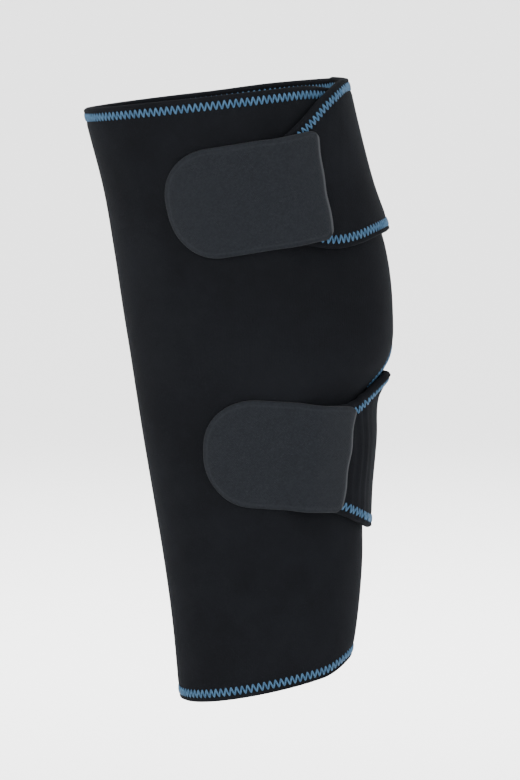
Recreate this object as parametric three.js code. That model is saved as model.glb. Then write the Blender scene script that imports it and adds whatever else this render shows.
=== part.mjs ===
// Neoprene calf support, one panel wrapped round and closed by two hook tabs, in its worn form.
// Millimetres, +Z up. The front faces -Y and the outer side, where it closes, faces +X. The origin
// is on the hollow's axis at half the height. Angles run round it in degrees: 0 at the front, 90
// at the outer side, 180 at the back and -90 at the inner side.
import * as THREE from 'three';
import { mergeVertices } from 'three/addons/utils/BufferGeometryUtils.js';

// Main sizes
const HEIGHT = 250;              // as worn, lowest point of the bottom edge to highest of the top
const CALF_DEPTH = 104;          // inside, front to back, where the hollow is fullest
const CALF_WIDTH = 99;           // inside, side to side, at the same place
const SHIN_NARROWING = 0.05;     // how much narrower a section is before its middle than behind it
const WALL = 3.5;                // neoprene with a knit face on each side
const LAYER_GAP = 0.4;           // clearance between layers that lie on each other

// Edges of the panel
const TOP_SLOPE = 10;            // rise of the top edge over half a turn
const TOP_LOW_ANGLE = -30;       // where the top edge is lowest
const BOTTOM_SLOPE = 14;         // rise of the bottom edge over half a turn
const BOTTOM_LOW_ANGLE = -15;    // where the bottom edge is lowest
const TUCK = 3;                  // how far the covered end stays inside the edges over it
const TUCK_START = 105;          // where the covered end starts to draw in
const TUCK_END = 140;

// Overlap at the back
const COVERED_END = 204;         // how far round the covered end reaches
const CLIMB_START = 244;         // the panel's other end starts to climb here
const CLIMB_END = 210;           // and lies on the covered end from here
const EAR_ROOT = 176;            // where the two ears leave the panel
const NOTCH_DEPTH = 11;          // how far the edge between the ears curves back from their roots

// Hook tabs, one on each ear
const TAB_HEIGHT = 43.5;
const TAB_THICKNESS = 1.7;
const TAB_NOSE_RADIUS = 20;      // corners of the free end
const TAB_HEEL_RADIUS = 4;       // corners of the sewn end
const TAB_LAP = 15;              // how far the tab lies on its ear
const TAB_STEP = 10;             // length over which it climbs onto the ear
const EAR_INSET = 1;             // how much narrower than the tab the ear's end is, on each side

// Each tab's length, where its free end is, by angle and share of HEIGHT, its slope in degrees, and
// how far its ear stands past its lower and its upper edge where it comes out from under its end
const TABS = {
  upper: { length: 63, angle: 31, up: 0.803, slope: 8.4, earBelow: 4, earAbove: 7.5 },
  lower: { length: 59.5, angle: 35.5, up: 0.422, slope: -4.4, earBelow: 1, earAbove: 1.5 },
};

// Sections of the hollow, as shares: up of HEIGHT, front and back reach of CALF_DEPTH, side of CALF_WIDTH.
// The first and last lie just past the edges of the panel
const LEG_SECTIONS = [
  { up: -0.04, front: 0.280, back: 0.284, side: 0.280 },
  { up: 0.00, front: 0.288, back: 0.300, side: 0.293 },
  { up: 0.12, front: 0.313, back: 0.349, side: 0.331 },
  { up: 0.22, front: 0.346, back: 0.369, side: 0.357 },
  { up: 0.33, front: 0.392, back: 0.366, side: 0.379 },
  { up: 0.42, front: 0.430, back: 0.382, side: 0.406 },
  { up: 0.50, front: 0.461, back: 0.392, side: 0.430 },
  { up: 0.56, front: 0.482, back: 0.476, side: 0.472 },
  { up: 0.63, front: 0.510, back: 0.484, side: 0.492 },
  { up: 0.73, front: 0.549, back: 0.448, side: 0.499 },
  { up: 0.83, front: 0.597, back: 0.356, side: 0.481 },
  { up: 0.93, front: 0.666, back: 0.283, side: 0.480 },
  { up: 1.00, front: 0.715, back: 0.240, side: 0.476 },
  { up: 1.04, front: 0.743, back: 0.215, side: 0.474 },
];

// Edges of the ears from their tabs to their roots, as shares of HEIGHT at angles in degrees
const UPPER_EAR = [
  { angle: 112, bottom: 0.742, top: 0.971 },
  { angle: 122, bottom: 0.748, top: 0.987 },
  { angle: 134, bottom: 0.752, top: 0.999 },
  { angle: 152, bottom: 0.753, top: 1.000 },
  { angle: 176, bottom: 0.756, top: 1.000 },
];
const LOWER_EAR = [
  { angle: 122, bottom: 0.296, top: 0.510 },
  { angle: 132, bottom: 0.286, top: 0.530 },
  { angle: 142, bottom: 0.279, top: 0.541 },
  { angle: 156, bottom: 0.275, top: 0.541 },
  { angle: 176, bottom: 0.273, top: 0.539 },
];

// Fineness of the faceted surfaces
const BODY_COLUMNS = 58;
const EAR_COLUMNS = 9;
const BAND_ROWS = { below: 5, lower: 7, notch: 8, upper: 5 };
const NOTCH_FADE_COLUMNS = 5;
const TAB_COLUMNS = { nose: 6, flat: 5, step: 4, lap: 2, heel: 2 };
const TAB_ROWS = 6;
const WALK_STEPS = 40;
const NORMAL_STEP = 0.5;

const FULL_TURN = 360;
const lerp = THREE.MathUtils.lerp;
const smoothstep = THREE.MathUtils.smoothstep;
const radians = THREE.MathUtils.degToRad;
const heightAt = (share) => (share - 0.5) * HEIGHT;

// Reads a table as smooth curves of its first column
function tableCurves(rows, key, columns) {
  const values = rows.flatMap((row) => columns.map((name) => row[name]));
  return new THREE.CubicInterpolant(rows.map((row) => row[key]), values, columns.length);
}

const sectionCurves = tableCurves(LEG_SECTIONS, 'up', ['front', 'back', 'side']);

// Point on the hollow's surface
function skinPoint(angle, z) {
  const [front, back, side] = sectionCurves.evaluate(z / HEIGHT + 0.5);
  const turn = radians(angle);
  const middle = (back - front) / 2 * CALF_DEPTH;
  const halfDepth = (back + front) / 2 * CALF_DEPTH;
  const halfWidth = side * CALF_WIDTH * (1 - SHIN_NARROWING * Math.cos(turn));
  return new THREE.Vector3(halfWidth * Math.sin(turn), middle - halfDepth * Math.cos(turn), z);
}

// Point lifted off the hollow's surface along its normal
function legPoint(angle, z, lift) {
  const roundLeg = skinPoint(angle + NORMAL_STEP, z).sub(skinPoint(angle - NORMAL_STEP, z));
  const upLeg = skinPoint(angle, z + NORMAL_STEP).sub(skinPoint(angle, z - NORMAL_STEP));
  const normal = roundLeg.cross(upLeg).normalize();
  return skinPoint(angle, z).addScaledVector(normal, lift);
}

// Millimetres on the panel's outer face for each degree of turn, and how far a line of one
// angle drifts round for each millimetre that it rises
function faceScale(angle, z) {
  const perDegree = legPoint(angle + 1, z, WALL).sub(legPoint(angle, z, WALL));
  const rise = legPoint(angle, z + 1, WALL).sub(legPoint(angle, z, WALL));
  const size = perDegree.length();
  return { perDegree: size, drift: rise.dot(perDegree) / size };
}

// Angle reached by walking a distance round the panel's outer face at one height
function walkRound(angle, z, distance) {
  const step = distance / WALK_STEPS;
  let reached = angle;
  for (let count = 0; count < WALK_STEPS; count += 1) {
    reached += step / faceScale(reached, z).perDegree;
  }
  return reached;
}

// Heights of the panel's edges by angle
const topEdge = (angle) => HEIGHT / 2
  - TOP_SLOPE / 2 * (1 + Math.cos(radians(angle - TOP_LOW_ANGLE)));
const bottomEdge = (angle) => -HEIGHT / 2
  + BOTTOM_SLOPE / 2 * (1 - Math.cos(radians(angle - BOTTOM_LOW_ANGLE)));
const tuckAt = (angle) => TUCK * smoothstep(angle, TUCK_START, TUCK_END);

// Place on a tab, along it from its free end and across it from its middle
function tabPlace(tab, along, across) {
  const slope = radians(tab.slope);
  const start = heightAt(tab.up);
  const round = along * Math.cos(slope) - across * Math.sin(slope);
  const rise = along * Math.sin(slope) + across * Math.cos(slope);
  const angle = walkRound(tab.angle, start, round);
  const { perDegree, drift } = faceScale(angle, start + rise / 2);
  return { angle: angle - rise * drift / perDegree, z: start + rise };
}

// Ear: its edges run on from under its tab through its table to the panel
function makeEar(tab, rows) {
  const halfEnd = TAB_HEIGHT / 2 - EAR_INSET;
  const edge = (side, flare, column) => {
    const knots = [
      tabPlace(tab, tab.length - TAB_LAP, side * halfEnd),
      tabPlace(tab, tab.length, side * (TAB_HEIGHT / 2 + flare)),
    ];
    const table = rows.map((row) => ({ angle: row.angle, z: heightAt(row[column]) }));
    return tableCurves([...knots, ...table], 'angle', ['z']);
  };
  const low = edge(-1, tab.earBelow, 'bottom');
  const high = edge(1, tab.earAbove, 'top');
  const ends = [-halfEnd, halfEnd].map((across) => tabPlace(tab, tab.length - TAB_LAP, across).angle);
  return (share, fraction) => {
    const lowAngle = lerp(ends[0], EAR_ROOT, share);
    const highAngle = lerp(ends[1], EAR_ROOT, share);
    const z = lerp(low.evaluate(lowAngle)[0], high.evaluate(highAngle)[0], fraction);
    return { angle: lerp(lowAngle, highAngle, fraction) - FULL_TURN, z };
  };
}

const ears = { upper: makeEar(TABS.upper, UPPER_EAR), lower: makeEar(TABS.lower, LOWER_EAR) };

// Rows of the panel from bottom to top, each in its band, with its share of the height at the roots
function panelRows() {
  const bottom = bottomEdge(EAR_ROOT);
  const span = topEdge(EAR_ROOT) - bottom;
  const share = (z) => (z - bottom) / span;
  const marks = [0, share(ears.lower(1, 0).z), share(ears.lower(1, 1).z), share(ears.upper(1, 0).z), 1];
  const rows = [];
  Object.entries(BAND_ROWS).forEach(([band, count], place) => {
    for (let row = 0; row < count; row += 1) {
      rows.push({ band, fraction: row / count, share: lerp(marks[place], marks[place + 1], row / count) });
    }
  });
  rows.push({ band: 'upper', fraction: 1, share: 1 });
  return rows;
}

// How far the panel's edge curves back from the roots of the ears, as a share of NOTCH_DEPTH
function notchShare(row) {
  if (row.band === 'below') return Math.sqrt(1 - row.fraction ** 2);
  if (row.band === 'notch') return Math.sqrt(1 - (2 * row.fraction - 1) ** 2);
  return 0;
}

const notchTurn = walkRound(EAR_ROOT, 0, NOTCH_DEPTH) - EAR_ROOT;

// Node of the panel between the roots of the ears and its covered end
function bodyNode(column, row) {
  const fade = Math.max(0, 1 - column / NOTCH_FADE_COLUMNS);
  const even = lerp(EAR_ROOT - FULL_TURN, COVERED_END, column / BODY_COLUMNS);
  const angle = even + notchShare(row) * notchTurn * fade;
  const z = lerp(bottomEdge(angle) + tuckAt(angle), topEdge(angle) - tuckAt(angle), row.share);
  return { angle, z };
}

// Height of the panel's inner face off the hollow's surface: it climbs onto its covered end
function panelLift(node) {
  const angle = node.angle + FULL_TURN;
  return (WALL + LAYER_GAP) * smoothstep(-angle, -CLIMB_START, -CLIMB_END);
}

// Closed body of a sheet laid round the hollow, from a grid of nodes with columns round and rows up
function sheetGeometry(grid, liftAt, thickness, isPresent = () => true) {
  const points = grid.map((column) => column.map((node) => [
    legPoint(node.angle, node.z, liftAt(node)),
    legPoint(node.angle, node.z, liftAt(node) + thickness),
  ]));
  const positions = [];
  const quad = (a, b, c, d) => [a, b, c, a, c, d].forEach((point) => positions.push(...point));
  const columns = grid.length - 1;
  const rows = grid[0].length - 1;
  const present = (i, j) => i >= 0 && j >= 0 && i < columns && j < rows && isPresent(i, j);
  for (let i = 0; i < columns; i += 1) {
    for (let j = 0; j < rows; j += 1) {
      if (!present(i, j)) continue;
      const corners = [points[i][j], points[i + 1][j], points[i + 1][j + 1], points[i][j + 1]];
      const neighbours = [present(i, j - 1), present(i + 1, j), present(i, j + 1), present(i - 1, j)];
      quad(...corners.map((pair) => pair[1]));
      quad(...corners.map((pair) => pair[0]).reverse());
      neighbours.forEach((joined, side) => {
        const from = corners[side];
        const to = corners[(side + 1) % 4];
        if (!joined) quad(from[0], to[0], to[1], from[1]);
      });
    }
  }
  const geometry = new THREE.BufferGeometry();
  geometry.setAttribute('position', new THREE.Float32BufferAttribute(positions, 3));
  return mergeVertices(geometry, 1e-3);
}

// Panel with its two ears, the ears first so that the angle grows with the columns
function panelGeometry() {
  const rows = panelRows();
  const grid = [];
  for (let column = 0; column < EAR_COLUMNS; column += 1) {
    grid.push(rows.map((row) => {
      const ear = row.band === 'upper' ? ears.upper : ears.lower;
      const fraction = row.band === 'upper' || row.band === 'lower' ? row.fraction : 1;
      return ear(column / EAR_COLUMNS, fraction);
    }));
  }
  // The upper ear's lowest row ends the notch, and the lower ear's highest row starts it
  for (let column = 0; column <= BODY_COLUMNS; column += 1) {
    grid.push(rows.map((row) => bodyNode(column, row)));
  }
  const inEar = (j) => rows[j].band === 'upper' || rows[j].band === 'lower';
  return sheetGeometry(grid, panelLift, WALL, (i, j) => i >= EAR_COLUMNS || inEar(j));
}

// Where a tab starts to climb onto its ear, and where it lies on it
function tabStep(tab) {
  const end = tab.length - TAB_LAP - LAYER_GAP;
  return { start: end - TAB_STEP, end };
}

// Columns of a tab: how far along it each one is and half its height there
function tabColumns(tab) {
  const step = tabStep(tab);
  const heelStart = tab.length - TAB_HEEL_RADIUS;
  const stretches = [
    ['nose', 0, TAB_NOSE_RADIUS],
    ['flat', TAB_NOSE_RADIUS, step.start],
    ['step', step.start, step.end],
    ['lap', step.end, heelStart],
    ['heel', heelStart, tab.length],
  ];
  const columns = [];
  for (const [name, from, to] of stretches) {
    for (let count = 0; count < TAB_COLUMNS[name]; count += 1) {
      const share = count / TAB_COLUMNS[name];
      const turn = Math.PI / 2 * share;
      let along = lerp(from, to, share);
      let drop = 0;
      if (name === 'nose') {
        along = TAB_NOSE_RADIUS * (1 - Math.cos(turn));
        drop = TAB_NOSE_RADIUS * (1 - Math.sin(turn));
      } else if (name === 'heel') {
        along = from + TAB_HEEL_RADIUS * Math.sin(turn);
        drop = TAB_HEEL_RADIUS * (1 - Math.cos(turn));
      }
      columns.push({ along, half: TAB_HEIGHT / 2 - drop });
    }
  }
  columns.push({ along: tab.length, half: TAB_HEIGHT / 2 - TAB_HEEL_RADIUS });
  return columns;
}

function tabGeometry(tab) {
  const step = tabStep(tab);
  const grid = tabColumns(tab).map(({ along, half }) => {
    const column = [];
    for (let row = 0; row <= TAB_ROWS; row += 1) {
      const place = tabPlace(tab, along, lerp(-half, half, row / TAB_ROWS));
      column.push({ ...place, climb: smoothstep(along, step.start, step.end) });
    }
    return column;
  });
  const lift = (node) => (WALL + LAYER_GAP) * (1 + node.climb);
  return sheetGeometry(grid, lift, TAB_THICKNESS);
}

const neoprene = { color: 0x1d1f23, roughness: 0.85, metalness: 0 };
const hookTape = { color: 0x2b2e31, roughness: 0.7, metalness: 0 };

const pieces = [
  ['neoprene_wrap', panelGeometry(), neoprene],
  ['upper_tab', tabGeometry(TABS.upper), hookTape],
  ['lower_tab', tabGeometry(TABS.lower), hookTape],
];

const group = new THREE.Group();
for (const [name, geometry, finish] of pieces) {
  const mesh = new THREE.Mesh(geometry, new THREE.MeshStandardMaterial(finish));
  mesh.name = name;
  group.add(mesh);
}

export default group;
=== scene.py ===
import math

import bpy
import numpy as np
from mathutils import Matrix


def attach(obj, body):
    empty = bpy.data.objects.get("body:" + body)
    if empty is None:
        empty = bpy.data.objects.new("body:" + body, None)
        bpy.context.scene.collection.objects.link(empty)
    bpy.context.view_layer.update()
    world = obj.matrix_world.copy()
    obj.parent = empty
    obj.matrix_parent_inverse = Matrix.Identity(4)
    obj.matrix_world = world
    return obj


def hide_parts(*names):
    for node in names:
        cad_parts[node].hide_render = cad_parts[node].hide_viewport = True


bl_info = {
    "name": "Neoprene calf support",
    "version": (1, 0, 0),
    "blender": (4, 5, 0),
    "location": "3D View > Sidebar > Calf Support",
    "description": "Neoprene panel wrapped round into its worn form, with stitched edges and two hook tabs",
    "category": "Object",
}

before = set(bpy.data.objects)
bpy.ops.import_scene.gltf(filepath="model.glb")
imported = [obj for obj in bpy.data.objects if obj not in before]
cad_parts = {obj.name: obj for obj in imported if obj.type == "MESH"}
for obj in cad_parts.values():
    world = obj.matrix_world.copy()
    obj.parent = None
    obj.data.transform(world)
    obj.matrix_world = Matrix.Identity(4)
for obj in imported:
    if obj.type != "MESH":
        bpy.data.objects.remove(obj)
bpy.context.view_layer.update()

# Sizes that the support shares with its solids, in millimetres and degrees. Angles run round its
# hollow: 0 at the front, 90 at the outer side, 180 at the back and -90 at the inner side. A metre
# has MM millimetres. NOTCH_FADE is how far round the notch's curve dies out
MM = 1000.0
FULL_TURN = 360.0
HEIGHT = 250.0
CALF_DEPTH = 104.0
CALF_WIDTH = 99.0
FRONT_NARROWING = 0.05
WALL = 3.5
LAYER_GAP = 0.4
TOP_SLOPE = 10.0
TOP_LOW_ANGLE = -30.0
BOTTOM_SLOPE = 14.0
BOTTOM_LOW_ANGLE = -15.0
TUCK = 3.0
TUCK_START = 105.0
TUCK_END = 140.0
COVERED_END = 204.0
CLIMB_START = 244.0
CLIMB_END = 210.0
EAR_ROOT = 176.0
NOTCH_DEPTH = 11.0
NOTCH_FADE = 33.45
TAB_HEIGHT = 43.5
TAB_THICKNESS = 1.7
TAB_NOSE_RADIUS = 20.0
TAB_HEEL_RADIUS = 4.0
TAB_LAP = 15.0
TAB_STEP = 10.0
EAR_INSET = 1.0
TABS = {
    "upper": {"length": 63.0, "angle": 31.0, "up": 0.803, "slope": 8.4, "ear_below": 4.0, "ear_above": 7.5,
              "folds": 0.25, "wave": 0.2},
    "lower": {"length": 59.5, "angle": 35.5, "up": 0.422, "slope": -4.4, "ear_below": 1.0, "ear_above": 1.5,
              "folds": 0.6, "wave": 0.35},
}

# Sections of the hollow as shares: up of the height, front and back of its depth, side of its width
HOLLOW_SECTIONS = np.array([
    (-0.04, 0.280, 0.284, 0.280),
    (0.00, 0.288, 0.300, 0.293),
    (0.12, 0.313, 0.349, 0.331),
    (0.22, 0.346, 0.369, 0.357),
    (0.33, 0.392, 0.366, 0.379),
    (0.42, 0.430, 0.382, 0.406),
    (0.50, 0.461, 0.392, 0.430),
    (0.56, 0.482, 0.476, 0.472),
    (0.63, 0.510, 0.484, 0.492),
    (0.73, 0.549, 0.448, 0.499),
    (0.83, 0.597, 0.356, 0.481),
    (0.93, 0.666, 0.283, 0.480),
    (1.00, 0.715, 0.240, 0.476),
    (1.04, 0.743, 0.215, 0.474),
])

# Edges of the ears: angle, bottom and top as shares of the height
EARS = {
    "upper": np.array([
        (112, 0.742, 0.971),
        (122, 0.748, 0.987),
        (134, 0.752, 0.999),
        (152, 0.753, 1.000),
        (176, 0.756, 1.000),
    ]),
    "lower": np.array([
        (122, 0.296, 0.510),
        (132, 0.286, 0.530),
        (142, 0.279, 0.541),
        (156, 0.275, 0.541),
        (176, 0.273, 0.539),
    ]),
}

# The small folds of the ears beside the tabs, and the waves of the tabs' sewn ends
FOLD_LENGTH = 5.0
FOLD_BEND = 0.5
FOLD_BEND_LENGTH = 6.0
FOLD_START = (0.4, 2.0)
FOLD_FADE = (9.0, 22.0)
WAVE_LENGTH = 16.0
WAVE_REACH = 6.0

# How the tabs' edges come down to the cloth, and where their welded rims and sewn lips end
TAB_EDGE_GAP = 0.12
SINK_REACH = 3.0
WELD_ENDS = (1.6, 2.3)
LIP_ENDS = (1.2, 2.4)

# Course of the stitching on the covered end, seen between the ears: angle and height
COVERED_SEAM = np.array([
    (196.0, 27.0),
    (178.0, 24.5),
    (165.0, 22.0),
    (150.0, 17.5),
    (142.0, 12.5),
    (135.0, 7.4),
    (131.0, 3.5),
])

# Height of a stitching thread above the cloth at shares of the way from one needle hole to the next,
# the groove's ends in halves of the stitching's width, and how much of the inset is kept at corners
THREAD_RISE = ((0.0, -0.3), (0.14, 0.05), (0.5, 0.16), (0.86, 0.05))
GROOVE_ENDS = (0.8, 2.1)
CLEAR_SHARE = 0.88

# Millimetres of flat cloth for each degree of the panel's turn
FLAT_PER_DEGREE = 0.95

# Steps of a walk round the outer face, places of the mesh near a cut edge, and its columns on the
# ears: their nominal length, and their spacing as a share of the panel's
WALK_STEPS = 40
FINE_STEPS = np.array([0, 0.5, 1.1, 1.8, 2.6, 3.4, 4.2, 5.2, 6.5])
EAR_GRID_LENGTH = 60.0
EAR_GRID_STEP = 0.4


# The hollow and what lies round it

def lerp(low, high, share):
    return low + (high - low) * share


def smoothstep(value, low, high):
    share = np.clip((value - low) / (high - low), 0, 1)
    return share * share * (3 - 2 * share)


def height_at(share):
    return (share - 0.5) * HEIGHT


def smooth_curve(keys, values):
    """Smooth curve through values at rising keys, held at the ends."""
    keys = np.asarray(keys, float)
    values = np.asarray(values, float)
    if values.ndim == 1:
        values = values[:, None]

    def read(place):
        place = np.clip(np.asarray(place, float), keys[0], keys[-1])
        after = np.clip(np.searchsorted(keys, place, side="right"), 1, len(keys) - 1)
        before = after - 1
        first = np.where(before > 0, before - 1, after)
        last = np.where(after < len(keys) - 1, after + 1, before)
        half = (keys[after] - keys[before]) / 2
        pull_back = half / (keys[before] - keys[first])
        pull_on = half / (keys[last] - keys[after])
        p = (place - keys[before]) / (keys[after] - keys[before])
        weights = (
            -pull_back * p ** 3 + 2 * pull_back * p ** 2 - pull_back * p,
            (1 + pull_back) * p ** 3 - (1.5 + 2 * pull_back) * p ** 2 + (pull_back - 0.5) * p + 1,
            -(1 + pull_on) * p ** 3 + (1.5 + pull_on) * p ** 2 + 0.5 * p,
            pull_on * p ** 3 - pull_on * p ** 2,
        )
        knots = (first, before, after, last)
        return sum(weight[..., None] * values[knot] for weight, knot in zip(weights, knots))

    return read


read_section = smooth_curve(HOLLOW_SECTIONS[:, 0], HOLLOW_SECTIONS[:, 1:])


def hollow_point(angle, z):
    """Point on the hollow's surface."""
    angle, z = np.broadcast_arrays(np.asarray(angle, float), np.asarray(z, float))
    front, back, side = np.moveaxis(read_section(z / HEIGHT + 0.5), -1, 0)
    turn = np.radians(angle)
    middle = (back - front) / 2 * CALF_DEPTH
    half_depth = (back + front) / 2 * CALF_DEPTH
    half_width = side * CALF_WIDTH * (1 - FRONT_NARROWING * np.cos(turn))
    return np.stack([half_width * np.sin(turn), middle - half_depth * np.cos(turn), z], -1)


def lifted_point(angle, z, lift):
    """Point lifted off the hollow's surface along its normal."""
    around = hollow_point(angle + 0.5, z) - hollow_point(angle - 0.5, z)
    upward = hollow_point(angle, z + 0.5) - hollow_point(angle, z - 0.5)
    normal = np.cross(around, upward)
    normal /= np.linalg.norm(normal, axis=-1, keepdims=True)
    return hollow_point(angle, z) + normal * np.asarray(lift, float)[..., None]


def face_scale(angle, z):
    """Millimetres a degree on the outer face, and how far a line of one angle drifts round and
    goes up across that for each millimetre of height."""
    here = lifted_point(angle, z, WALL)
    per_degree = lifted_point(angle + 1, z, WALL) - here
    rise = lifted_point(angle, z + 1, WALL) - here
    size = np.linalg.norm(per_degree, axis=-1)
    drift = (rise * per_degree).sum(-1) / size
    return size, drift, np.sqrt((rise ** 2).sum(-1) - drift ** 2)


def walk_round(angle, z, distance):
    """Angle reached by walking a distance round the outer face at one height."""
    reached = angle + 0 * np.asarray(distance, float)
    for _ in range(WALK_STEPS):
        reached = reached + distance / WALK_STEPS / face_scale(reached, z)[0]
    return reached


def top_edge(angle):
    return HEIGHT / 2 - TOP_SLOPE / 2 * (1 + np.cos(np.radians(angle - TOP_LOW_ANGLE)))


def bottom_edge(angle):
    return -HEIGHT / 2 + BOTTOM_SLOPE / 2 * (1 - np.cos(np.radians(angle - BOTTOM_LOW_ANGLE)))


def tuck_at(angle):
    return TUCK * smoothstep(angle, TUCK_START, TUCK_END)


def panel_lift(angle):
    """How far the inner face is off the hollow's surface: the outer end climbs onto the covered end."""
    return (WALL + LAYER_GAP) * smoothstep(-(angle + FULL_TURN), -CLIMB_START, -CLIMB_END)


def ear_folds(angle, z):
    """How far the ears rise in small folds up their height, next to the ends of the tabs."""
    rise = 0 * angle
    for tab in TABS.values():
        slope = math.radians(tab["slope"])
        start = height_at(tab["up"])
        heel = walk_round(tab["angle"], start, tab["length"] * math.cos(slope))
        middle = start + tab["length"] * math.sin(slope)
        size, drift, _ = face_scale(heel, middle)
        run = (angle + FULL_TURN - heel) * size + (z - middle) * (drift - math.tan(slope))
        bend = FOLD_BEND * np.sin((z - middle) / FOLD_BEND_LENGTH + tab["angle"])
        beside = np.abs(z - middle) < TAB_HEIGHT
        fade = smoothstep(run, *FOLD_START) * (1 - smoothstep(run, *FOLD_FADE)) * beside
        fold = 1 - np.cos((run + bend) / FOLD_LENGTH * 2 * math.pi)
        rise = rise + tab["folds"] / 2 * fold * fade
    return np.where(angle + FULL_TURN < EAR_ROOT, rise, 0)


def tab_place(tab, along, across):
    """Angle and height of a place on a tab, along it from its free end and across it from its middle."""
    slope = math.radians(tab["slope"])
    start = height_at(tab["up"])
    around = along * math.cos(slope) - across * math.sin(slope)
    rise = along * math.sin(slope) + across * math.cos(slope)
    angle = walk_round(tab["angle"], start, around)
    per_degree, drift, _ = face_scale(angle, start + rise / 2)
    return angle - rise * drift / per_degree, start + rise


def make_ear(name):
    """Function for the place on an ear at a share from its end to its root and of its height."""
    tab = TABS[name]
    rows = EARS[name]
    half_end = TAB_HEIGHT / 2 - EAR_INSET

    def edge(side, flare, column):
        knots = [tab_place(tab, tab["length"] - TAB_LAP, side * half_end),
                 tab_place(tab, tab["length"], side * (TAB_HEIGHT / 2 + flare))]
        angles = [float(angle) for angle, _ in knots] + list(rows[:, 0])
        heights = [float(z) for _, z in knots] + list(height_at(rows[:, column]))
        return smooth_curve(angles, heights)

    low, high = edge(-1, tab["ear_below"], 1), edge(1, tab["ear_above"], 2)
    ends = [float(tab_place(tab, tab["length"] - TAB_LAP, across)[0]) for across in (-half_end, half_end)]

    def place(share, fraction):
        low_angle = lerp(ends[0], EAR_ROOT, share)
        high_angle = lerp(ends[1], EAR_ROOT, share)
        z = lerp(low(low_angle)[..., 0], high(high_angle)[..., 0], fraction)
        return lerp(low_angle, high_angle, fraction) - FULL_TURN, z

    return place


ears = {name: make_ear(name) for name in TABS}


# Grid of the panel

def graded(length, step, fine_start=True, fine_end=True):
    """Places along a length, close together near its cut ends."""
    start = FINE_STEPS if fine_start else FINE_STEPS[:1]
    end = length - (FINE_STEPS if fine_end else FINE_STEPS[:1])
    count = max(1, round((end.min() - start.max()) / step))
    middle = np.linspace(start.max(), end.min(), count + 1)
    return np.unique(np.round(np.concatenate([start, end, middle]), 6))


def panel_rows(step):
    """Rows of the panel: band, fraction in it, and share of the panel's height at the roots."""
    bottom = bottom_edge(EAR_ROOT)
    span = top_edge(EAR_ROOT) - bottom
    marks = [0.0, *(float(ears["lower"](1, side)[1] - bottom) / span for side in (0, 1)),
             float(ears["upper"](1, 0)[1] - bottom) / span, 1.0]
    bands, fractions, shares = [], [], []
    for band in range(4):
        length = (marks[band + 1] - marks[band]) * span
        places = graded(length, step)
        if band < 3:
            places = places[:-1]
        bands += [band] * len(places)
        fractions += list(places / length)
        shares += list(lerp(marks[band], marks[band + 1], places / length))
    return np.array(bands), np.array(fractions), np.array(shares)


def notch_share(band, fraction):
    """How far the edge curves back from the roots, as a share of the notch's depth."""
    below = np.sqrt(np.clip(1 - fraction ** 2, 0, 1))
    between = np.sqrt(np.clip(1 - (2 * fraction - 1) ** 2, 0, 1))
    return np.where(band == 0, below, np.where(band == 2, between, 0))


def panel_grid(step):
    """Angles and heights of the panel's nodes, which cells are cloth, and its two stitched edges."""
    band, fraction, share = panel_rows(step)
    ear_shares = graded(EAR_GRID_LENGTH, step * EAR_GRID_STEP, True, False)[:-1] / EAR_GRID_LENGTH
    root = len(ear_shares)
    turns = graded(COVERED_END - EAR_ROOT + FULL_TURN, step)
    angle = np.empty((root + len(turns), len(band)))
    z = np.empty_like(angle)
    in_ear = np.where(np.isin(band, (1, 3)), fraction, band == 2)
    for name, own in (("upper", band == 3), ("lower", band < 3)):
        angle[:root, own], z[:root, own] = ears[name](ear_shares[:, None], in_ear[None, own])
    notch_turn = walk_round(EAR_ROOT, 0.0, NOTCH_DEPTH) - EAR_ROOT
    fade = np.clip(1 - turns / NOTCH_FADE, 0, 1)[:, None]
    body = EAR_ROOT - FULL_TURN + turns[:, None] + notch_share(band, fraction)[None] * notch_turn * fade
    angle[root:] = body
    low = bottom_edge(body) + tuck_at(body)
    high = top_edge(body) - tuck_at(body)
    z[root:] = lerp(low, high, share[None])
    cloth = np.ones((angle.shape[0] - 1, angle.shape[1] - 1), bool)
    cloth[:root] = np.isin(band[:-1], (1, 3))
    ear_low, ear_high, upper_low = (int(np.argmax(band == number)) for number in (1, 2, 3))
    last = len(band) - 1
    nodes = lambda i, j: np.stack([angle[i, j], z[i, j]], -1)
    outside = np.concatenate([
        nodes(slice(None), last), nodes(-1, slice(None, None, -1)), nodes(slice(None, root, -1), 0),
        nodes(root, slice(0, ear_low)), nodes(slice(root, None, -1), ear_low)])
    between = np.concatenate([
        nodes(slice(0, root + 1), upper_low), nodes(root, slice(upper_low, ear_high, -1)),
        nodes(slice(root, None, -1), ear_high)])
    return angle, z, cloth, outside, between


def edge_distance(angle, z, starts, ends):
    """Distance on the outer face from each node to the nearest of many short segments."""
    size, drift, up = (part[..., None] for part in face_scale(angle, z))
    flat = lambda points: ((points[:, 0] - angle[..., None]) * size + (points[:, 1] - z[..., None]) * drift,
                           (points[:, 1] - z[..., None]) * up)
    from_x, from_y = flat(starts)
    to_x, to_y = flat(ends)
    run_x, run_y = to_x - from_x, to_y - from_y
    length = np.maximum(run_x ** 2 + run_y ** 2, 1e-9)
    share = np.clip(-(from_x * run_x + from_y * run_y) / length, 0, 1)
    return np.hypot(from_x + share * run_x, from_y + share * run_y).min(-1)


def distance_to_paths(angle, z, paths):
    """Distance from nodes to the nearest of several paths, worked out a column at a time."""
    starts = np.concatenate([path[:-1] for path in paths])
    ends = np.concatenate([path[1:] for path in paths])
    return np.stack([edge_distance(a, h, starts, ends) for a, h in zip(angle, z)])


# Stitched lines

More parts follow.
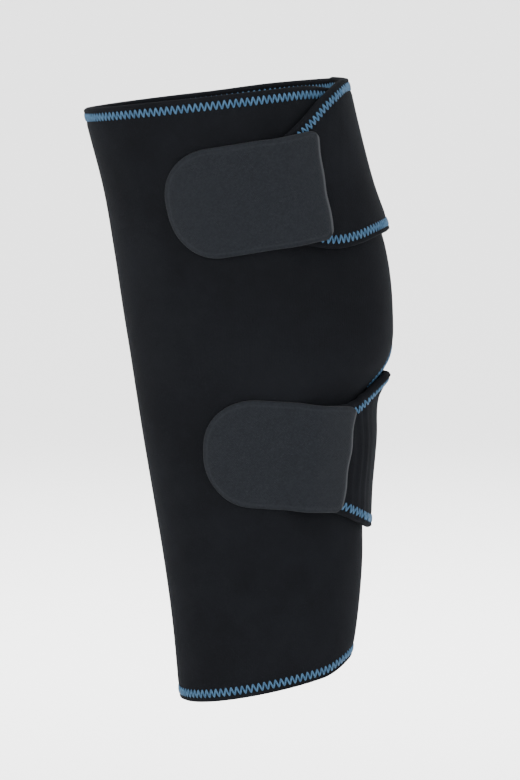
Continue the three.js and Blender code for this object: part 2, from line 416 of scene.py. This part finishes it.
def even_path(path, step):
    """Points evenly spaced along a path on the outer face."""
    size, drift, up = face_scale(*path.T)
    run = path[1:] - path[:-1]
    x = run[:, 0] * size[:-1] + run[:, 1] * drift[:-1]
    y = run[:, 1] * up[:-1]
    length = np.concatenate([[0], np.cumsum(np.hypot(x, y))])
    count = max(2, round(length[-1] / step))
    places = np.linspace(0, length[-1], count + 1)
    return np.stack([np.interp(places, length, path[:, axis]) for axis in (0, 1)], -1)


def side_step(points, distance):
    """Points moved to the right of a path by a distance on the outer face."""
    size, drift, up = face_scale(*points.T)
    ahead = np.gradient(points, axis=0)
    x = ahead[:, 0] * size + ahead[:, 1] * drift
    y = ahead[:, 1] * up
    right = np.stack([y, -x], -1)
    right /= np.maximum(np.linalg.norm(right, axis=-1, keepdims=True), 1e-9)
    width = 5
    padded = np.concatenate([right[:1].repeat(width // 2, 0), right, right[-1:].repeat(width // 2, 0)])
    right = np.stack([np.convolve(padded[:, axis], np.ones(width) / width, "valid") for axis in (0, 1)], -1)
    right /= np.linalg.norm(right, axis=-1, keepdims=True)
    step = right * np.asarray(distance, float)[..., None]
    rise = step[:, 1] / up
    return points + np.stack([(step[:, 0] - rise * drift) / size, rise], -1)


def stitched_lines(sizes, outside, between):
    """Lines that the stitching follows: inside the panel's outer edge, inside the edge between
    the ears, and on the covered end."""
    inset = sizes.stitch_inset * MM
    lines = []
    for edge, side in ((outside, 1), (between, -1)):
        points = even_path(edge, 1.0)
        moved = side_step(points, np.full(len(points), side * inset))
        clear = edge_distance(moved[:, 0], moved[:, 1], edge[:-1], edge[1:]) > inset * CLEAR_SHARE
        lines.append(moved[clear])
    return [*lines, COVERED_SEAM]


def groove_depth(sizes, distance):
    """How deep the stitching pulls the cloth in at a distance from its line."""
    start, end = (sizes.stitch_height * MM / 2 * share for share in GROOVE_ENDS)
    return sizes.stitch_groove * MM * (1 - smoothstep(distance, start, end))


def zigzag(sizes, line, inner):
    """Points of one zigzag thread on the outer or inner face, down at its needle holes."""
    half = sizes.stitch_height * MM / 2
    points = even_path(line, sizes.stitch_pitch * MM / 2)
    sides = np.where(np.arange(len(points)) % 2, half, -half)
    holes = side_step(points, sides)
    rows = []
    for share, proud in THREAD_RISE:
        place = lerp(holes[:-1], holes[1:], share)
        away = np.abs(lerp(sides[:-1], sides[1:], share))
        rows.append(np.column_stack([place, proud - groove_depth(sizes, away)]))
    thread = np.stack(rows, 1).reshape(-1, 3)
    lift = panel_lift(thread[:, 0]) + ear_folds(thread[:, 0], thread[:, 1])
    lift = lift - thread[:, 2] if inner else lift + WALL + thread[:, 2]
    return lifted_point(thread[:, 0], thread[:, 1], lift) / MM


# Meshes

def edge_drop(distance, radius):
    """How far a face has turned in at a distance from a cut edge rounded to a radius."""
    inside = np.clip(radius - distance, 0, radius)
    return radius - np.sqrt(radius ** 2 - inside ** 2)


def sheet_object(name, outer, inner, present, flat, attributes):
    """Closed mesh of a sheet from the grids of its two faces, with a UV map in metres of cloth."""
    columns, rows = outer.shape[:2]
    number = np.arange(columns * rows).reshape(columns, rows)
    back = columns * rows
    corners = np.stack([number[:-1, :-1], number[1:, :-1], number[1:, 1:], number[:-1, 1:]], -1)
    faces = [corners[present], corners[present][:, ::-1] + back]
    around = np.pad(present, 1)
    neighbours = (around[1:-1, :-2], around[2:, 1:-1], around[1:-1, 2:], around[:-2, 1:-1])
    for side, joined in enumerate(neighbours):
        open_side = present & ~joined
        start = corners[open_side][:, side]
        end = corners[open_side][:, (side + 1) % 4]
        faces.append(np.stack([start + back, end + back, end, start], -1))
    faces = np.concatenate(faces)
    used, faces = np.unique(faces, return_inverse=True)
    faces = faces.reshape(-1, 4)
    points = np.concatenate([outer.reshape(-1, 3), inner.reshape(-1, 3)])[used] / MM
    mesh = bpy.data.meshes.new(name)
    mesh.from_pydata(points.tolist(), [], faces.tolist())
    twice = lambda values: np.concatenate([values, values])[used]
    cloth = np.stack([twice(part.reshape(-1)) for part in flat], -1) / MM
    layer = mesh.uv_layers.new(name="cloth")
    layer.data.foreach_set("uv", cloth[faces.reshape(-1)].astype(np.float32).reshape(-1))
    for key, values in attributes.items():
        mesh.attributes.new(key, "FLOAT", "POINT").data.foreach_set("value", twice(values.reshape(-1)))
    mesh.polygons.foreach_set("use_smooth", np.ones(len(faces), bool))
    mesh.update()
    thing = bpy.data.objects.new(name, mesh)
    bpy.context.collection.objects.link(thing)
    return thing


def only(thing):
    """Makes one object the only selected and active one."""
    bpy.ops.object.select_all(action="DESELECT")
    thing.select_set(True)
    bpy.context.view_layer.objects.active = thing


def thread_object(name, runs, radius, finish):
    """Threads of one thickness as one mesh."""
    curve = bpy.data.curves.new(name, "CURVE")
    curve.dimensions = "3D"
    curve.bevel_depth = radius
    curve.bevel_resolution = 1
    curve.use_fill_caps = True
    for run in runs:
        spline = curve.splines.new("POLY")
        spline.points.add(len(run) - 1)
        spline.points.foreach_set("co", np.column_stack([run, np.ones(len(run))]).reshape(-1))
    thing = bpy.data.objects.new(name, curve)
    bpy.context.collection.objects.link(thing)
    only(thing)
    bpy.ops.object.convert(target="MESH")
    bpy.ops.object.shade_smooth()
    thing = bpy.context.view_layer.objects.active
    thing.data.materials.append(finish)
    return thing


# Materials

class Value:
    """A number that varies over a surface. Arithmetic on it adds Math nodes."""

    def __init__(self, finish, socket):
        self.finish = finish
        self.socket = socket

    def math(self, operation, *others):
        values = dict(enumerate((self, *others)))
        return self.finish.node("ShaderNodeMath", {"operation": operation}, values)["Value"]

    def __add__(self, other):
        return self.math("ADD", other)

    __radd__ = __add__

    def __sub__(self, other):
        return self.math("SUBTRACT", other)

    def __rsub__(self, other):
        return (self * -1.0) + other

    def __mul__(self, other):
        return self.math("MULTIPLY", other)

    __rmul__ = __mul__


class Outputs:
    """Outputs of a node by name."""

    def __init__(self, finish, node):
        self.finish = finish
        self.node = node

    def __getitem__(self, name):
        return Value(self.finish, self.node.outputs[name])


class Finish:
    """A material and its nodes."""

    def __init__(self, name):
        self.material = bpy.data.materials.new(name)
        self.material.use_nodes = True
        self.tree = self.material.node_tree
        self.shader = self.tree.nodes["Principled BSDF"]

    def node(self, kind, settings, values):
        """Adds a node with its settings, and then the values or links of its sockets."""
        made = self.tree.nodes.new(kind)
        for key, setting in settings.items():
            setattr(made, key, setting)
        self.fill(made, values)
        return Outputs(self, made)

    def fill(self, node, values):
        for key, value in values.items():
            if isinstance(value, Value):
                self.tree.links.new(value.socket, node.inputs[key])
            else:
                node.inputs[key].default_value = value

    def mix(self, factor, low, high):
        """Colour between two colours."""
        mixed = self.node("ShaderNodeMix", {"data_type": "RGBA"}, {0: factor, 6: low, 7: high})
        return Value(self, mixed.node.outputs[2])

    def noise(self, place, scale, detail, roughness=0.5):
        settings = {"noise_dimensions": "3D"}
        values = {"Vector": place, "Scale": scale, "Detail": detail, "Roughness": roughness}
        return self.node("ShaderNodeTexNoise", settings, values)["Fac"]

    def ramp(self, value, low, high, to_low=0.0, to_high=1.0):
        """A value's range low to high, spread smoothly over another range."""
        settings = {"interpolation_type": "SMOOTHSTEP"}
        values = {"Value": value, "From Min": low, "From Max": high, "To Min": to_low, "To Max": to_high}
        return self.node("ShaderNodeMapRange", settings, values)["Result"]

    def bump(self, height, strength, distance):
        values = {"Strength": strength, "Distance": distance, "Height": height}
        return self.node("ShaderNodeBump", {}, values)["Normal"]

    def cloth_place(self):
        """Coordinates on the cloth, round it and up it, in metres."""
        place = self.node("ShaderNodeUVMap", {"uv_map": "cloth"}, {})["UV"]
        parts = self.node("ShaderNodeSeparateXYZ", {}, {0: place})
        return parts["X"], parts["Y"]


def colour(values):
    return (*values, 1.0)


def knit_neoprene(colours):
    """Matt black knit face: fine ribs up the panel, a soft nap and faint uneven tone."""
    finish = Finish("black knit neoprene")
    place = finish.node("ShaderNodeTexCoord", {}, {})["Object"]
    across, up = finish.cloth_place()
    ribs = (across * (2 * math.pi / 0.0011)).math("SINE")
    courses = (up * (2 * math.pi / 0.0009)).math("SINE")
    knit = ribs * 0.6 + courses * ribs * 0.4
    nap = finish.noise(place, 1400, 3)
    patches = finish.noise(place, 28, 3, 0.55)
    tone = finish.ramp(patches * 0.7 + nap * 0.3, 0.35, 0.65)
    base = finish.mix(tone, colour(colours.knit_dark), colour(colours.knit_light))
    normal = finish.bump(knit * 0.18 + nap, 0.3, 0.0004)
    finish.fill(finish.shader, {
        "Base Color": base, "Roughness": 0.9, "Normal": normal, "Specular IOR Level": 0.02,
        "Sheen Weight": 0.01, "Sheen Roughness": 0.45, "Sheen Tint": (0.75, 0.85, 1.0, 1.0)})
    return finish.material


def stitching_thread(colours):
    """Blue polyester thread with a soft gloss."""
    finish = Finish("blue thread")
    place = finish.node("ShaderNodeTexCoord", {}, {})["Object"]
    strands = finish.noise(place, 900, 2)
    tone = finish.ramp(strands, 0.35, 0.65)
    base = finish.mix(tone, colour(colours.thread_dark), colour(colours.thread_light))
    finish.fill(finish.shader, {"Base Color": base, "Roughness": 0.6, "Specular IOR Level": 0.3})
    return finish.material


def hook_tape(colours):
    """Charcoal hook tape: close rows of tiny hooks inside a smooth welded rim, which carries a painted
    highlight where the tab's rounded edge would catch the light, and a lighter lip at the sewn end."""
    finish = Finish("charcoal hook tape")
    place = finish.node("ShaderNodeTexCoord", {}, {})["Object"]
    across, up = finish.cloth_place()
    inside = finish.node("ShaderNodeAttribute", {"attribute_name": "inside"}, {})["Fac"]
    rows = 2 * math.pi / 0.0012
    hooks = (across * rows).math("SINE") * (up * rows).math("SINE")
    field = finish.ramp(inside, 1.8, 2.4)
    grain = finish.noise(place, 1100, 3)
    # Painted highlight: a ring 1.2 to 2.4 mm inside the outline is lightened where the tab's rounded edge
    # would catch the light
    weld = finish.ramp(inside, 1.2, 1.7) * finish.ramp(inside, 1.9, 2.4, 1.0, 0.0)
    tone = finish.ramp(grain, 0.3, 0.7) * 0.6 + weld * 0.4
    tape = finish.mix(tone, colour(colours.tape_dark), colour(colours.tape_light_and_rim_highlight))
    from_heel = finish.node("ShaderNodeAttribute", {"attribute_name": "from_heel"}, {})["Fac"]
    base = finish.mix(finish.ramp(from_heel, 0.9, 1.7, 1.0, 0.0), tape, colour(colours.tape_lip))
    normal = finish.bump(hooks * field * 0.4 + grain * 0.6, 0.4, 0.0003)
    finish.fill(finish.shader, {
        "Base Color": base, "Roughness": 0.85, "Normal": normal, "Specular IOR Level": 0.1,
        "Sheen Weight": 0.03, "Sheen Roughness": 0.5})
    return finish.material


def studio_floor(colours):
    finish = Finish("pale studio floor")
    finish.fill(finish.shader, {
        "Base Color": colour(colours.floor), "Roughness": 0.9, "Specular IOR Level": 0.1})
    return finish.material


# Settings that a user would change

class SupportSizes(bpy.types.PropertyGroup):
    cloth_step: bpy.props.FloatProperty(
        name="Cloth step", description="Spacing of the panel's mesh away from its edges",
        default=0.003, min=0.001, unit="LENGTH", subtype="DISTANCE")
    edge_rounding: bpy.props.FloatProperty(
        name="Edge rounding", description="Radius to which the panel's cut edges are drawn in",
        default=0.0014, min=0.0001, max=0.0017, unit="LENGTH", subtype="DISTANCE")
    stitch_inset: bpy.props.FloatProperty(
        name="Stitch inset", description="Distance from a cut edge to the middle of its stitching",
        default=0.0036, min=0.002, unit="LENGTH", subtype="DISTANCE")
    stitch_height: bpy.props.FloatProperty(
        name="Stitch height", description="Width of the zigzag across its line",
        default=0.0033, min=0.001, unit="LENGTH", subtype="DISTANCE")
    stitch_pitch: bpy.props.FloatProperty(
        name="Stitch pitch", description="Length of one whole zigzag along its line",
        default=0.0023, min=0.001, unit="LENGTH", subtype="DISTANCE")
    stitch_groove: bpy.props.FloatProperty(
        name="Stitch groove", description="How deep the stitching pulls the cloth in",
        default=0.0003, min=0.0, max=0.0008, unit="LENGTH", subtype="DISTANCE")
    thread_radius: bpy.props.FloatProperty(
        name="Thread radius", description="Half the thickness of the stitching thread",
        default=0.00036, min=0.0001, unit="LENGTH", subtype="DISTANCE")
    tab_rounding: bpy.props.FloatProperty(
        name="Tab rounding", description="Radius of the tabs' outer edges",
        default=0.0007, min=0.0001, max=0.0008, unit="LENGTH", subtype="DISTANCE")
    weld_depth: bpy.props.FloatProperty(
        name="Weld depth", description="How much thinner a tab's welded rim is",
        default=0.00025, min=0.0, max=0.0008, unit="LENGTH", subtype="DISTANCE")
    floor_drop: bpy.props.FloatProperty(
        name="Floor below", description="Height of the support's middle above the floor",
        default=0.34, min=0.13, unit="LENGTH", subtype="DISTANCE")


def colour_property(name, description, default):
    return bpy.props.FloatVectorProperty(
        name=name, description=description, default=default, min=0.0, max=1.0, size=3,
        subtype="COLOR")


class SupportColours(bpy.types.PropertyGroup):
    knit_dark: colour_property("Knit, dark", "Darker tone of the black knit", (0.0072, 0.0077, 0.0092))
    knit_light: colour_property("Knit, light", "Lighter tone of the black knit", (0.0096, 0.0104, 0.0125))
    thread_dark: colour_property("Thread, dark", "Darker tone of the blue thread", (0.030, 0.088, 0.168))
    thread_light: colour_property("Thread, light", "Lighter tone of the blue thread", (0.058, 0.144, 0.250))
    tape_dark: colour_property("Hook tape, dark", "Darker tone of the hook tape", (0.0116, 0.0132, 0.0164))
    # The lighter tape tone serves both the tape's random grain and the painted highlight on its welded rim
    tape_light_and_rim_highlight: colour_property("Hook tape, light", "Lighter tone of the hook tape", (0.0178, 0.0203, 0.0250))
    tape_lip: colour_property("Hook tape, lip", "Lighter lip at the tabs' sewn ends", (0.046, 0.049, 0.054))
    floor: colour_property("Floor", "Colour of the studio floor", (0.93, 0.93, 0.93))


# Pieces

class CALF_OT_stitching(bpy.types.Operator):
    """Sews the blue zigzag along the panel's edges, seen on both faces"""
    bl_idname = "calf_support.stitching"
    bl_label = "Stitching"

    def execute(self, context):
        sizes = context.scene.calf_sizes
        _, _, _, outside, between = panel_grid(sizes.cloth_step * MM)
        lines = stitched_lines(sizes, outside, between)
        thread = stitching_thread(context.scene.calf_colours)
        for name, inner in (("outer_stitching", False), ("inner_stitching", True)):
            runs = [zigzag(sizes, line, inner) for line in lines]
            stitches = thread_object(name, runs, sizes.thread_radius, thread)
            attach(stitches, "root")
        return {"FINISHED"}


class CALF_OT_panel(bpy.types.Operator):
    """Lays the neoprene panel round, with its two ears over its covered end"""
    bl_idname = "calf_support.panel"
    bl_label = "Panel"

    def execute(self, context):
        sizes = context.scene.calf_sizes
        angle, z, cloth, outside, between = panel_grid(sizes.cloth_step * MM)
        ear_ends = [np.stack([angle[0, rows], z[0, rows]], -1)
                    for rows in (cloth_rows(cloth[0], side) for side in (0, 1))]
        to_edge = distance_to_paths(angle, z, [outside, between, *ear_ends])
        to_stitch = distance_to_paths(angle, z, stitched_lines(sizes, outside, between))
        drop = np.maximum(edge_drop(to_edge, sizes.edge_rounding * MM), groove_depth(sizes, to_stitch))
        lift = panel_lift(angle) + ear_folds(angle, z)
        outer = lifted_point(angle, z, lift + WALL - drop)
        inner = lifted_point(angle, z, lift + drop)
        panel = sheet_object("panel", outer, inner, cloth, (angle * FLAT_PER_DEGREE, z), {})
        panel.data.materials.append(knit_neoprene(context.scene.calf_colours))
        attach(panel, "root")
        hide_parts("neoprene_wrap")
        stitching = [bpy.data.objects["outer_stitching"], bpy.data.objects["inner_stitching"]]
        return {"FINISHED"}


def cloth_rows(cells, run):
    """Rows that bound one of the two runs of cloth cells in a column."""
    present = np.flatnonzero(cells)
    split = int(np.argmax(np.diff(present) > 1)) + 1
    own = present[:split] if run == 0 else present[split:]
    return np.arange(own[0], own[-1] + 2)


def tab_outline(along, across, length):
    """Distance inside a tab's outline, with its wide nose corners and small heel corners."""
    radius = np.where(along < length / 2, TAB_NOSE_RADIUS, TAB_HEEL_RADIUS)
    x = np.minimum(along, length - along)
    y = TAB_HEIGHT / 2 - np.abs(across)
    in_corner = (x < radius) & (y < radius)
    return np.where(in_corner, radius - np.hypot(radius - x, radius - y), np.minimum(x, y))


def tab_grid(length):
    """Places along and across a tab, close together at its ends and edges."""
    nose = TAB_NOSE_RADIUS * (1 - np.cos(np.linspace(0, math.pi / 2, 22)))
    heel = length - TAB_HEEL_RADIUS * (1 - np.sin(np.linspace(0, math.pi / 2, 9)))
    middle = np.linspace(TAB_NOSE_RADIUS, heel[0], 30)
    along = np.unique(np.round(np.concatenate([nose, middle, heel]), 6))
    nose_drop = TAB_NOSE_RADIUS - np.sqrt(np.clip(
        TAB_NOSE_RADIUS ** 2 - np.clip(TAB_NOSE_RADIUS - along, 0, None) ** 2, 0, None))
    heel_drop = TAB_HEEL_RADIUS - np.sqrt(np.clip(
        TAB_HEEL_RADIUS ** 2 - np.clip(along - length + TAB_HEEL_RADIUS, 0, None) ** 2, 0, None))
    half = TAB_HEIGHT / 2 - nose_drop - heel_drop
    edge = FINE_STEPS[:6] / (TAB_HEIGHT / 2)
    middle = np.linspace(edge.max() - 1, 1 - edge.max(), 13)
    spread = np.unique(np.round(np.concatenate([edge - 1, middle, 1 - edge]), 6))
    return np.repeat(along[:, None], len(spread), 1), half[:, None] * spread[None]


class CALF_OT_tabs(bpy.types.Operator):
    """Lays the two hook tabs on the ends of the ears and on the panel"""
    bl_idname = "calf_support.tabs"
    bl_label = "Hook tabs"

    def execute(self, context):
        sizes = context.scene.calf_sizes
        tape = hook_tape(context.scene.calf_colours)
        for name, tab in TABS.items():
            length = tab["length"]
            along, across = tab_grid(length)
            inside = np.clip(tab_outline(along, across, length), 0, None)
            from_heel = length - along
            wave = tab["wave"] * np.sin(across / WAVE_LENGTH * 2 * math.pi)
            wave = wave * smoothstep(along, length - WAVE_REACH, length)
            angle, z = tab_place(tab, along + wave, across)
            step_end = length - TAB_LAP - LAYER_GAP
            climb = smoothstep(along, step_end - TAB_STEP, step_end)
            sink = (LAYER_GAP - TAB_EDGE_GAP) * (1 - smoothstep(inside, 0, SINK_REACH))
            lift = (WALL + LAYER_GAP) * (1 + climb) - sink
            weld = sizes.weld_depth * MM * (1 - smoothstep(inside, *WELD_ENDS))
            weld = weld * smoothstep(from_heel, *LIP_ENDS)
            drop = edge_drop(inside, sizes.tab_rounding * MM) + weld
            outer = lifted_point(angle, z, lift + TAB_THICKNESS - drop)
            inner = lifted_point(angle, z, lift)
            present = np.ones((along.shape[0] - 1, along.shape[1] - 1), bool)
            piece = sheet_object(f"{name}_hook_tab", outer, inner, present, (along, across),
                                 {"inside": inside, "from_heel": from_heel})
            piece.data.materials.append(tape)
            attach(piece, "root")
            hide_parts(f"{name}_tab")
        return {"FINISHED"}


class CALF_OT_stage(bpy.types.Operator):
    """Sets up the pale floor, the soft lights and the camera"""
    bl_idname = "calf_support.stage"
    bl_label = "Stage"

    def execute(self, context):
        scene = context.scene
        drop = scene.calf_sizes.floor_drop
        bpy.ops.object.select_all(action="DESELECT")
        reach, sweep = 3.2, 1.6
        bpy.ops.mesh.primitive_circle_add(vertices=96, radius=reach, fill_type="NGON", location=(0, 0, -drop))
        floor = context.active_object
        floor.name = "floor"
        bpy.ops.object.mode_set(mode="EDIT")
        bpy.ops.mesh.select_mode(type="EDGE")
        bpy.ops.mesh.select_all(action="SELECT")
        bpy.ops.mesh.region_to_loop()
        turns = np.linspace(0, math.pi / 2, 13)
        for before, after in zip(turns[:-1], turns[1:]):
            growth = (reach + sweep * math.sin(after)) / (reach + sweep * math.sin(before))
            rise = sweep * (math.cos(before) - math.cos(after))
            bpy.ops.mesh.extrude_region_move(TRANSFORM_OT_translate={"value": (0, 0, rise)})
            bpy.ops.transform.resize(value=(growth, growth, 1), center_override=(0, 0, 0))
        bpy.ops.mesh.select_all(action="SELECT")
        bpy.ops.mesh.normals_make_consistent(inside=True)
        bpy.ops.object.mode_set(mode="OBJECT")
        bpy.ops.object.shade_smooth()
        bpy.ops.object.transform_apply(location=True, rotation=True, scale=True)
        floor.data.materials.append(studio_floor(scene.calf_colours))
        lights = (
            ("key_light", (0.8, -2.05, 1.7), (0, 0, 0.02), 1.6, 38, (1.0, 0.99, 0.97)),
            ("side_light", (2.3, 0.9, 0.9), (0, 0, 0), 1.3, 15, (0.96, 0.98, 1.0)),
            ("back_light", (-1.6, 1.9, 1.6), (0, 0, 0), 1.5, 14, (1.0, 1.0, 1.0)),
            ("backdrop_light", (-1.0, 0.6, 1.6), (-3.0, 1.7, -0.3), 1.6, 190, (1.0, 1.0, 1.0)),
        )
        for name, place, aim, size, power, tint in lights:
            bpy.ops.object.light_add(type="AREA", location=place)
            light = context.active_object
            light.name = name
            light.data.shape = "DISK"
            light.data.size = size
            light.data.energy = power
            light.data.color = tint
            aim_at(light, aim)
        world = bpy.data.worlds.new("studio")
        world.use_nodes = True
        world.node_tree.nodes["Background"].inputs["Color"].default_value = (1, 1, 1, 1)
        world.node_tree.nodes["Background"].inputs["Strength"].default_value = 1.2
        scene.world = world
        place_camera(scene)
        return {"FINISHED"}


def aim_at(thing, target):
    """Turns a light or camera to look at a point."""
    away = thing.location - type(thing.location)(target)
    thing.rotation_euler = away.to_track_quat("Z", "Y").to_euler()


def place_camera(scene):
    """Puts the camera at the photograph's viewing angle, closer in so that the support fills the frame."""
    azimuth, elevation, distance = math.radians(60), math.radians(5), 1.8
    bpy.ops.object.camera_add(location=(
        distance * math.sin(azimuth) * math.cos(elevation),
        -distance * math.cos(azimuth) * math.cos(elevation),
        distance * math.sin(elevation)))
    camera = bpy.context.active_object
    aim_at(camera, (0, 0, 0))
    camera.data.lens = 205
    camera.data.clip_end = 50
    scene.camera = camera


class CALF_PT_support(bpy.types.Panel):
    """Pieces and settings of the calf support"""
    bl_idname = "CALF_PT_support"
    bl_label = "Calf Support"
    bl_space_type = "VIEW_3D"
    bl_region_type = "UI"
    bl_category = "Calf Support"

    def draw(self, context):
        for operator in PIECES:
            self.layout.operator(operator.bl_idname)
        for group in (context.scene.calf_sizes, context.scene.calf_colours):
            for key in group.__annotations__:
                self.layout.prop(group, key)


PIECES = (CALF_OT_stitching, CALF_OT_panel, CALF_OT_tabs, CALF_OT_stage)
CLASSES = (SupportSizes, SupportColours, *PIECES, CALF_PT_support)


def register():
    for own in CLASSES:
        bpy.utils.register_class(own)
    bpy.types.Scene.calf_sizes = bpy.props.PointerProperty(type=SupportSizes)
    bpy.types.Scene.calf_colours = bpy.props.PointerProperty(type=SupportColours)


def unregister():
    del bpy.types.Scene.calf_colours
    del bpy.types.Scene.calf_sizes
    for own in reversed(CLASSES):
        bpy.utils.unregister_class(own)


def main():
    register()
    bpy.ops.calf_support.stitching()
    bpy.ops.calf_support.panel()
    bpy.ops.calf_support.tabs()
    bpy.ops.calf_support.stage()


if __name__ == "__main__":
    main()
